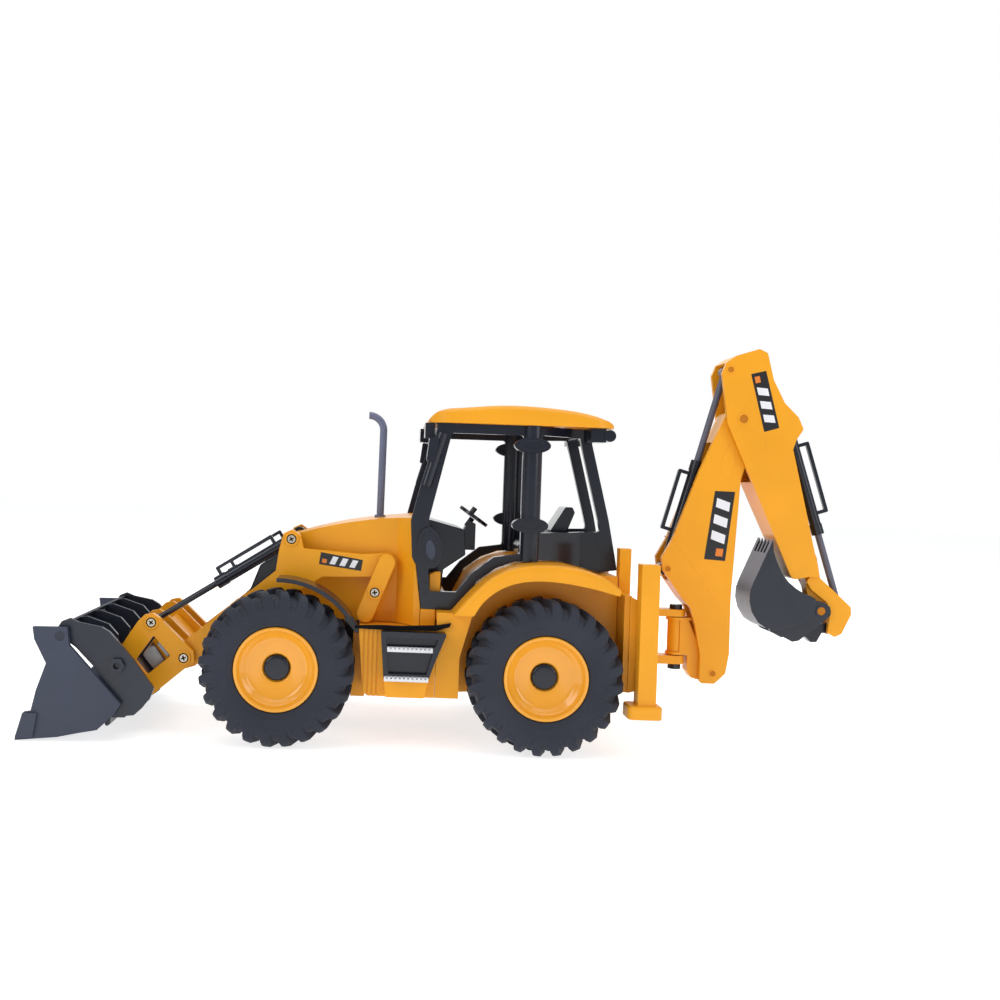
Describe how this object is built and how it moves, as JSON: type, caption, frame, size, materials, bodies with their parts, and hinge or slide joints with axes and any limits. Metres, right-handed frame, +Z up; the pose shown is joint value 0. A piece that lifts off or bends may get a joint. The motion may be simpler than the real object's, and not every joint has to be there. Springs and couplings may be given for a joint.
{
  "type": "toy backhoe loader",
  "caption": "Toy backhoe loader with lifting front arms, opening front bucket, open cab, drop-down rear legs and a swinging, jointed digging arm.",
  "frame": {"origin": "on the ground at the middle of the machine's overall box", "axes": "+X rearwards towards the digging arm, +Y across to the machine's right, +Z up"},
  "size_m": [0.4536, 0.146, 0.2211],
  "materials": {
    "yellow_body": "satin moulded ABS",
    "yellow_rim": "gloss moulded ABS",
    "navy_trim": "gloss moulded ABS, blue-black",
    "tyre_rubber": "matte soft rubber, blue-grey",
    "bucket_grey": "satin moulded ABS, slate",
    "rod_grey": "satin grey plastic",
    "screw_steel": "plated screw",
    "tread_silver": "silver-sprayed plastic"
  },
  "bodies": {
    "machine": {"chassis_frame": "navy_trim", "front_axle": "rod_grey", "rear_axle": "rod_grey", "lower_body": "yellow_body", "left_step_box": "navy_trim", "right_step_box": "navy_trim", "step_treads": "tread_silver", "rear_body": "yellow_body", "hood": "yellow_body", "grille": "navy_trim", "exhaust_stack": "rod_grey", "left_tower": "yellow_body", "right_tower": "yellow_body", "tower_screws": "screw_steel", "left_mudguard": "navy_trim", "right_mudguard": "navy_trim", "cab_frame": "navy_trim", "cab_floor": "yellow_body", "roof": "yellow_body", "console": "navy_trim", "steering_column": "navy_trim", "driver_seat": "navy_trim", "work_lights": "navy_trim", "rear_frame": "yellow_body", "kingpost_arms": "yellow_body", "swing_pin": "yellow_body"},
    "steering": {"steering_wheel": "navy_trim"},
    "arms": {"loader_arms": "yellow_body", "arm_screws": "screw_steel"},
    "tilt_barrels": {"tilt_ram_barrels": "navy_trim"},
    "tilt_rods": {"tilt_ram_rods": "rod_grey"},
    "bucket_carrier": {"bucket_bracket": "yellow_body", "bracket_screws": "screw_steel", "bucket_back": "navy_trim"},
    "jaw": {"bucket_jaw": "bucket_grey"},
    "left_leg": {"left_stabiliser": "yellow_body"},
    "right_leg": {"right_stabiliser": "yellow_body"},
    "swing_head": {"swing_casting": "yellow_body"},
    "boom_body": {"boom": "yellow_body"},
    "dipper_body": {"dipper": "yellow_body"},
    "dipper_barrel": {"dipper_ram_barrel": "navy_trim"},
    "dipper_rod": {"dipper_ram_rod": "rod_grey"},
    "bucket_barrel": {"bucket_ram_barrel": "navy_trim"},
    "bucket_rod": {"bucket_ram_rod": "rod_grey"},
    "tip_link_body": {"tipping_link": "yellow_body"},
    "bucket_link_body": {"bucket_link": "navy_trim"},
    "scoop": {"digging_bucket": "navy_trim"},
    "front_left_wheel": {"front_left_tyre": "tyre_rubber", "front_left_rim": "yellow_rim", "front_left_hub_cap": "navy_trim"},
    "front_right_wheel": {"front_right_tyre": "tyre_rubber", "front_right_rim": "yellow_rim", "front_right_hub_cap": "navy_trim"},
    "rear_left_wheel": {"rear_left_tyre": "tyre_rubber", "rear_left_rim": "yellow_rim", "rear_left_hub_cap": "navy_trim"},
    "rear_right_wheel": {"rear_right_tyre": "tyre_rubber", "rear_right_rim": "yellow_rim", "rear_right_hub_cap": "navy_trim"}
  },
  "joints": [
    {"name": "front_left_spin", "type": "hinge", "parent": "machine", "child": "front_left_wheel", "pos_m": [-0.0944, -0.0575, 0.0405], "axis": [0, 1, 0], "continuous": true},
    {"name": "front_right_spin", "type": "hinge", "parent": "machine", "child": "front_right_wheel", "pos_m": [-0.0944, 0.0575, 0.0405], "axis": [0, 1, 0], "continuous": true},
    {"name": "rear_left_spin", "type": "hinge", "parent": "machine", "child": "rear_left_wheel", "pos_m": [0.0447, -0.0575, 0.0405], "axis": [0, 1, 0], "continuous": true},
    {"name": "rear_right_spin", "type": "hinge", "parent": "machine", "child": "rear_right_wheel", "pos_m": [0.0447, 0.0575, 0.0405], "axis": [0, 1, 0], "continuous": true},
    {"name": "steering_spin", "type": "hinge", "parent": "machine", "child": "steering", "pos_m": [0.0109, 0, 0.1214], "axis": [0.5633, 0, 0.8262], "continuous": true},
    {"name": "loader_lift", "type": "hinge", "parent": "machine", "child": "arms", "pos_m": [-0.0389, 0, 0.0952], "axis": [0, 1, 0], "range_deg": [0, 50]},
    {"name": "bucket_tilt", "type": "hinge", "parent": "arms", "child": "bucket_carrier", "pos_m": [-0.1466, 0, 0.0402], "axis": [0, -1, 0], "range_deg": [-30, 45]},
    {"name": "jaw_open", "type": "hinge", "parent": "bucket_carrier", "child": "jaw", "pos_m": [-0.2055, 0, 0.054], "axis": [0, 1, 0], "range_deg": [0, 35]},
    {"name": "tilt_barrel_swing", "type": "hinge", "parent": "arms", "child": "tilt_barrels", "pos_m": [-0.091, 0, 0.106], "axis": [0, -1, 0], "range_deg": [-4, 5]},
    {"name": "tilt_rod_slide", "type": "slide", "parent": "tilt_barrels", "child": "tilt_rods", "axis": [-0.8416, 0, -0.5401], "range_m": [-0.0125, 0.0185]},
    {"name": "left_stabiliser_slide", "type": "slide", "parent": "machine", "child": "left_leg", "axis": [0, 0, -1], "range_m": [0, 0.0214]},
    {"name": "right_stabiliser_slide", "type": "slide", "parent": "machine", "child": "right_leg", "axis": [0, 0, -1], "range_m": [0, 0.0214]},
    {"name": "boom_swing", "type": "hinge", "parent": "machine", "child": "swing_head", "pos_m": [0.1285, 0, 0.056], "axis": [0, 0, 1], "range_deg": [-75, 75]},
    {"name": "boom_lower", "type": "hinge", "parent": "swing_head", "child": "boom_body", "pos_m": [0.148, 0, 0.0363], "axis": [0, 1, 0], "range_deg": [0, 45]},
    {"name": "dipper_swing", "type": "hinge", "parent": "boom_body", "child": "dipper_body", "pos_m": [0.1605, 0, 0.18], "axis": [0, -1, 0], "range_deg": [0, 90]},
    {"name": "dipper_barrel_swing", "type": "hinge", "parent": "boom_body", "child": "dipper_barrel", "pos_m": [0.121, 0, 0.095], "axis": [0, -1, 0], "range_deg": [0, 9]},
    {"name": "dipper_rod_slide", "type": "slide", "parent": "dipper_barrel", "child": "dipper_rod", "axis": [0.2629, 0, 0.9648], "range_m": [-0.0405, 0]},
    {"name": "scoop_curl", "type": "hinge", "parent": "dipper_body", "child": "scoop", "pos_m": [0.2086, 0, 0.0738], "axis": [0, -1, 0], "range_deg": [0, 160]},
    {"name": "tip_link_swing", "type": "hinge", "parent": "dipper_body", "child": "tip_link_body", "pos_m": [0.2048, 0, 0.0896], "axis": [0, -1, 0], "range_deg": [0, 98]},
    {"name": "bucket_link_swing", "type": "hinge", "parent": "scoop", "child": "bucket_link_body", "pos_m": [0.1936, 0, 0.0602], "axis": [0, -1, 0], "range_deg": [-83, 0]},
    {"name": "bucket_barrel_swing", "type": "hinge", "parent": "dipper_body", "child": "bucket_barrel", "pos_m": [0.1893, 0, 0.1783], "axis": [0, -1, 0], "range_deg": [0, 5]},
    {"name": "bucket_rod_slide", "type": "slide", "parent": "bucket_barrel", "child": "bucket_rod", "axis": [0.3029, 0, -0.953], "range_m": [-0.032, 0]}
  ],
  "couplings": [
    {"joint": "tilt_barrel_swing", "follows": "bucket_tilt", "ratio": 0.085},
    {"joint": "tilt_rod_slide", "follows": "bucket_tilt", "m_per_rad": 0.0229},
    {"joint": "dipper_barrel_swing", "follows": "dipper_swing", "ratio": 0.085},
    {"joint": "dipper_rod_slide", "follows": "dipper_swing", "m_per_rad": -0.0229},
    {"joint": "tip_link_swing", "follows": "scoop_curl", "ratio": 0.61},
    {"joint": "bucket_link_swing", "follows": "scoop_curl", "ratio": -0.507},
    {"joint": "bucket_barrel_swing", "follows": "scoop_curl", "ratio": 0.025},
    {"joint": "bucket_rod_slide", "follows": "scoop_curl", "m_per_rad": -0.01096}
  ]
}
